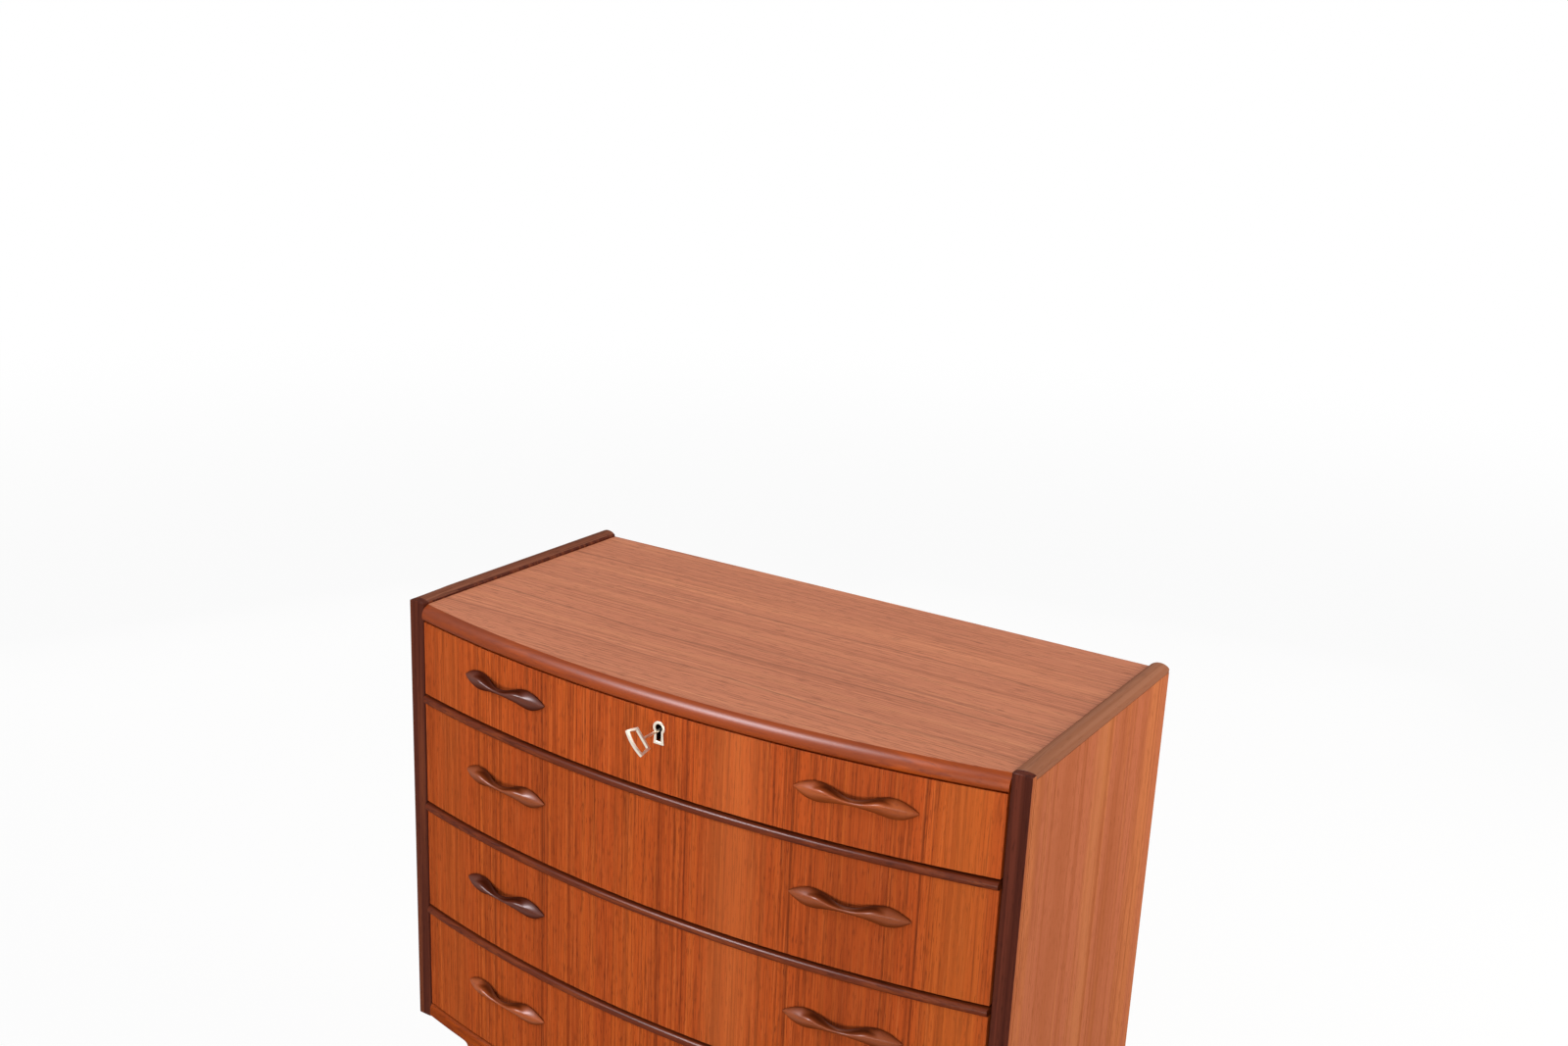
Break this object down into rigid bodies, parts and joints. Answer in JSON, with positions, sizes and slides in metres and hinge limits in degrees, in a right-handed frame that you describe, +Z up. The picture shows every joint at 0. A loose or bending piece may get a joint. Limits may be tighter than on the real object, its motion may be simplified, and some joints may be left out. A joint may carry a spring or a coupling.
{
  "type": "chest of drawers",
  "caption": "Bow front chest of drawers in teak veneer with carved pulls, beaded drawer edges, a keyed top drawer and short tapered legs.",
  "frame": {"origin": "middle of the floor under the chest's bounding box", "axes": "+X to the right seen from the front, +Y to the back, +Z up; the drawers open towards -Y"},
  "size_m": [0.8, 0.4535, 0.722],
  "materials": {
    "teak_veneer_front": "satin",
    "teak_veneer_side": "satin",
    "teak_veneer_top": "satin",
    "teak_lipping": "satin",
    "teak_solid": "satin",
    "beech": "matt",
    "plywood": "matt",
    "nickel": "polished nickel",
    "steel": "plain"
  },
  "bodies": {
    "case": {"side_panel_left": "teak_veneer_side", "side_front_lipping_left": "teak_lipping", "side_top_lipping_left": "teak_lipping", "leg_front_left": "teak_solid", "leg_rear_left": "teak_solid", "base_rail_left": "teak_solid", "drawer_1_runner_left": "beech", "drawer_2_runner_left": "beech", "drawer_3_runner_left": "beech", "drawer_4_runner_left": "beech", "side_panel_right": "teak_veneer_side", "side_front_lipping_right": "teak_lipping", "side_top_lipping_right": "teak_lipping", "leg_front_right": "teak_solid", "leg_rear_right": "teak_solid", "base_rail_right": "teak_solid", "drawer_1_runner_right": "beech", "drawer_2_runner_right": "beech", "drawer_3_runner_right": "beech", "drawer_4_runner_right": "beech", "top_panel": "teak_veneer_top", "top_nosing": "teak_solid", "bottom_panel": "plywood", "bottom_nosing": "teak_solid", "back_panel": "plywood"},
    "key": {"key": "nickel"},
    "lock_bolt": {"lock_bolt": "steel"},
    "drawer_1": {"drawer_1_front": "teak_veneer_front", "drawer_1_side_left": "beech", "drawer_1_handle_left": "teak_solid", "drawer_1_side_right": "beech", "drawer_1_handle_right": "teak_solid", "drawer_1_back": "beech", "drawer_1_bottom": "plywood", "escutcheon": "nickel", "lock_case": "steel"},
    "drawer_2": {"drawer_2_front": "teak_veneer_front", "drawer_2_bead": "teak_lipping", "drawer_2_side_left": "beech", "drawer_2_handle_left": "teak_solid", "drawer_2_side_right": "beech", "drawer_2_handle_right": "teak_solid", "drawer_2_back": "beech", "drawer_2_bottom": "plywood"},
    "drawer_3": {"drawer_3_front": "teak_veneer_front", "drawer_3_bead": "teak_lipping", "drawer_3_side_left": "beech", "drawer_3_handle_left": "teak_solid", "drawer_3_side_right": "beech", "drawer_3_handle_right": "teak_solid", "drawer_3_back": "beech", "drawer_3_bottom": "plywood"},
    "drawer_4": {"drawer_4_front": "teak_veneer_front", "drawer_4_bead": "teak_lipping", "drawer_4_side_left": "beech", "drawer_4_handle_left": "teak_solid", "drawer_4_side_right": "beech", "drawer_4_handle_right": "teak_solid", "drawer_4_back": "beech", "drawer_4_bottom": "plywood"}
  },
  "joints": [
    {"name": "drawer_1_slide", "type": "slide", "parent": "case", "child": "drawer_1", "axis": [0, -1, 0], "range_m": [0, 0.26]},
    {"name": "drawer_2_slide", "type": "slide", "parent": "case", "child": "drawer_2", "axis": [0, -1, 0], "range_m": [0, 0.26]},
    {"name": "drawer_3_slide", "type": "slide", "parent": "case", "child": "drawer_3", "axis": [0, -1, 0], "range_m": [0, 0.26]},
    {"name": "drawer_4_slide", "type": "slide", "parent": "case", "child": "drawer_4", "axis": [0, -1, 0], "range_m": [0, 0.26]},
    {"name": "key_turn", "type": "hinge", "parent": "drawer_1", "child": "key", "pos_m": [0, -0.18025, 0.675], "axis": [0, -1, 0], "range_deg": [-40, 140]},
    {"name": "lock_bolt_slide", "type": "slide", "parent": "drawer_1", "child": "lock_bolt", "axis": [0, 0, 1], "range_m": [-0.002, 0.007]}
  ],
  "couplings": [
    {"joint": "key_turn", "follows": "lock_bolt_slide", "rad_per_m": 349}
  ]
}
